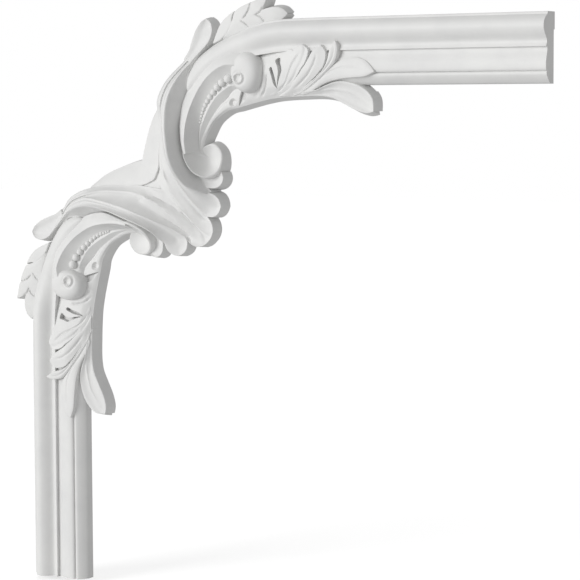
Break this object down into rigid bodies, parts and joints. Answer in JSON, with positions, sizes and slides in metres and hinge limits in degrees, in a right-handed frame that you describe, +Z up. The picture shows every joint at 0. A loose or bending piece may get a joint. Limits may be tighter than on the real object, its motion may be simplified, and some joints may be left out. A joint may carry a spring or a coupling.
{
  "type": "moulding corner piece",
  "caption": "White carved corner for panel moulding: profiled arms meet in a scrolled shell with beads, acanthus and laurel leaves.",
  "frame": {"origin": "on the flat back, on the diagonal of the corner, 155 mm along and 155 mm down from where the two outer edges would meet", "axes": "+Y into the wall, +X along the upper arm, +Z up; the lower arm runs along -Z"},
  "size_m": [0.5215, 0.043, 0.5215],
  "materials": {
    "casting": "white primer on rigid polyurethane, matte"
  },
  "bodies": {
    "root": {"corner_casting": "casting"}
  },
  "joints": []
}
